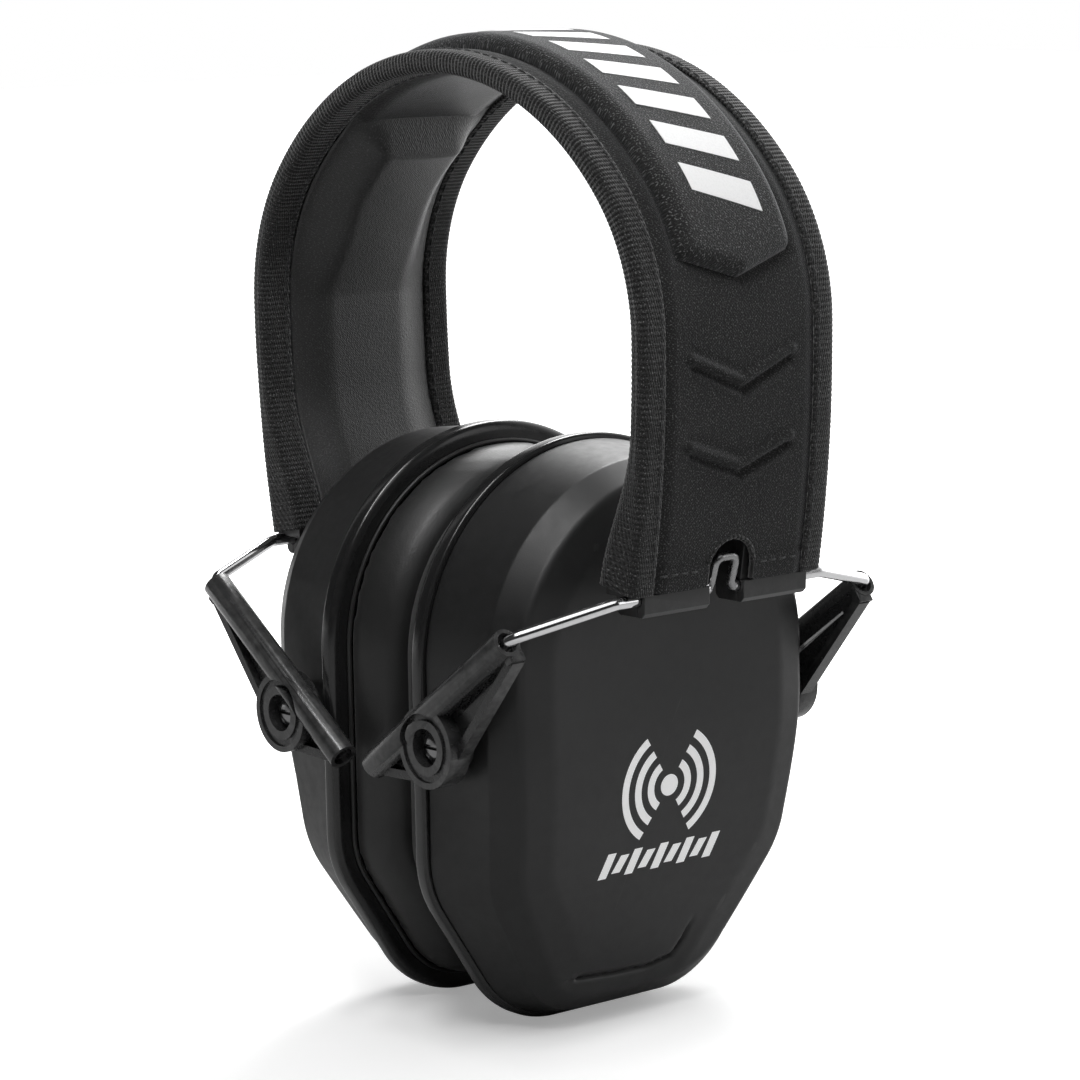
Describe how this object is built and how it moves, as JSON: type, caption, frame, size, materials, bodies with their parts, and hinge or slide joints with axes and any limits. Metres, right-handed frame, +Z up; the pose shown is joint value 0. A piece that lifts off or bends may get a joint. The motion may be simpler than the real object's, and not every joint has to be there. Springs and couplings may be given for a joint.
{
  "type": "earmuff hearing protector",
  "caption": "Slim folding earmuff hearing protector: padded fabric headband, chrome wire bails, sliding pivot arms and shield-shaped ear cups with soft sealing cushions.",
  "frame": {"origin": "midway between the two ear cups, on the plane the cups stand on", "axes": "+X from ear to ear towards the right cup, +Y towards the rear edge of the headband, +Z up to the crown"},
  "size_m": [0.117, 0.089, 0.1785],
  "materials": {
    "band_fabric": "matt woven black",
    "liner_fabric": "soft black knit",
    "binding_tape": "ribbed black tape",
    "foam": "open cell foam",
    "spring_steel": "satin",
    "rivet_steel": "satin",
    "chrome_wire": "polished",
    "arm_plastic": "satin moulded black",
    "shell_plastic": "soft-touch matt black",
    "cushion_skin": "smooth soft black",
    "black_screw": "black oxide"
  },
  "bodies": {
    "headband": {"spring_band": "spring_steel", "band_outer_cover": "band_fabric", "band_liner": "liner_fabric", "crown_panel": "band_fabric", "crown_foam": "foam", "comfort_pad_left": "liner_fabric", "comfort_pad_right": "liner_fabric", "edge_binding_front": "binding_tape", "edge_binding_rear": "binding_tape", "end_yoke_left": "arm_plastic", "end_yoke_right": "arm_plastic", "yoke_keeper_left": "arm_plastic", "yoke_keeper_right": "arm_plastic", "yoke_rivets_left": "rivet_steel", "yoke_rivets_right": "rivet_steel"},
    "bail_left": {"wire_bail_left": "chrome_wire"},
    "arms_left": {"pivot_arm_front_left": "arm_plastic", "pivot_arm_rear_left": "arm_plastic"},
    "cup_left": {"cup_shell_left": "shell_plastic", "back_plate_left": "shell_plastic", "cushion_ring_left": "shell_plastic", "ear_cushion_cover_left": "cushion_skin", "ear_cushion_foam_left": "foam", "acoustic_foam_left": "foam", "pivot_screws_left": "black_screw", "pivot_washers_left": "black_screw"},
    "bail_right": {"wire_bail_right": "chrome_wire"},
    "arms_right": {"pivot_arm_front_right": "arm_plastic", "pivot_arm_rear_right": "arm_plastic"},
    "cup_right": {"cup_shell_right": "shell_plastic", "back_plate_right": "shell_plastic", "cushion_ring_right": "shell_plastic", "ear_cushion_cover_right": "cushion_skin", "ear_cushion_foam_right": "foam", "acoustic_foam_right": "foam", "pivot_screws_right": "black_screw", "pivot_washers_right": "black_screw"}
  },
  "joints": [
    {"name": "bail_swing_left", "type": "hinge", "parent": "headband", "child": "bail_left", "pos_m": [-0.0502, 0, 0.0825], "axis": [0, 1, 0], "range_deg": [0, 50]},
    {"name": "arm_slide_left", "type": "slide", "parent": "bail_left", "child": "arms_left", "axis": [0.8161, 0, -0.5779], "range_m": [0, 0.0251]},
    {"name": "cup_tilt_left", "type": "hinge", "parent": "arms_left", "child": "cup_left", "pos_m": [-0.02159, 0, 0.05611], "axis": [0, 1, 0], "range_deg": [-50.1, 0]},
    {"name": "bail_swing_right", "type": "hinge", "parent": "headband", "child": "bail_right", "pos_m": [0.0502, 0, 0.0825], "axis": [0, -1, 0], "range_deg": [0, 50]},
    {"name": "arm_slide_right", "type": "slide", "parent": "bail_right", "child": "arms_right", "axis": [-0.8161, 0, -0.5779], "range_m": [0, 0.0251]},
    {"name": "cup_tilt_right", "type": "hinge", "parent": "arms_right", "child": "cup_right", "pos_m": [0.02159, 0, 0.05611], "axis": [0, -1, 0], "range_deg": [-50.1, 0]}
  ],
  "couplings": [
    {"joint": "arm_slide_left", "follows": "bail_swing_left", "m_per_rad": 0.028648},
    {"joint": "cup_tilt_left", "follows": "bail_swing_left", "ratio": -1},
    {"joint": "arm_slide_right", "follows": "bail_swing_right", "m_per_rad": 0.028648},
    {"joint": "cup_tilt_right", "follows": "bail_swing_right", "ratio": -1}
  ]
}
